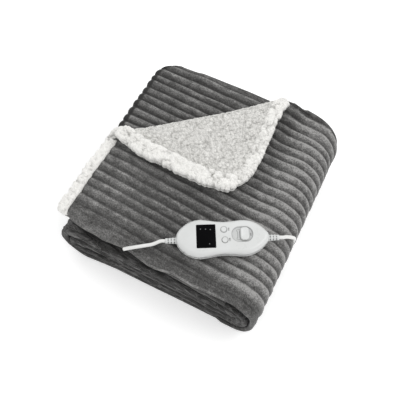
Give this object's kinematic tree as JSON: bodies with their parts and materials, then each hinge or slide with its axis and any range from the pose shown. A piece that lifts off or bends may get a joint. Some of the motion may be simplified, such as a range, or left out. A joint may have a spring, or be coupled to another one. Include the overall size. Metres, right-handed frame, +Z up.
{
  "type": "electric heated blanket",
  "caption": "Ribbed heated throw folded into a square bundle with one corner turned back, hand controller on top, and its mains lead stored behind it.",
  "frame": {"origin": "on the floor, under the middle of the folded throw's bounding box, leads left out", "axes": "+X along the ribs from the left edge to the large right fold, +Y from the front edges to the back, +Z up"},
  "size_m": [0.3599, 0.413, 0.1467],
  "materials": {
    "grey_flannel": "brushed ribbed flannel, soft mid grey",
    "pale_pile": "off-white curly pile",
    "case_white": "satin moulded plastic",
    "window_black": "glossy black display window",
    "button_upper_white": "satin",
    "button_lower_white": "satin",
    "knob_white": "satin",
    "relief_left_white": "satin",
    "relief_right_white": "satin",
    "lead_white": "satin lead jacket",
    "plug_white": "satin",
    "pin_steel": "polished nickel plate"
  },
  "bodies": {
    "throw": {"ribbed_face": "grey_flannel", "pale_backing": "pale_pile", "controller_base": "case_white", "controller_cover": "case_white", "display_window": "window_black", "relief_left": "relief_left_white", "relief_right": "relief_right_white", "lead_blanket": "lead_white", "lead_mains": "lead_white", "lead_hank": "lead_white", "lead_tail": "lead_white", "plug_body": "plug_white", "plug_pin_front": "pin_steel", "plug_pin_back": "pin_steel"},
    "upper_button": {"button_upper": "button_upper_white"},
    "lower_button": {"button_lower": "button_lower_white"},
    "slide_switch": {"switch_knob": "knob_white"}
  },
  "joints": [
    {"name": "upper_button_press", "type": "slide", "parent": "throw", "child": "upper_button", "axis": [0, 0, -1], "range_m": [0, 0.001], "stiffness_N_per_m": 400},
    {"name": "lower_button_press", "type": "slide", "parent": "throw", "child": "lower_button", "axis": [0, 0, -1], "range_m": [0, 0.001], "stiffness_N_per_m": 400},
    {"name": "switch_slide", "type": "slide", "parent": "throw", "child": "slide_switch", "axis": [0.8607, 0.509, 0], "range_m": [-0.0095, 0.0025]}
  ]
}
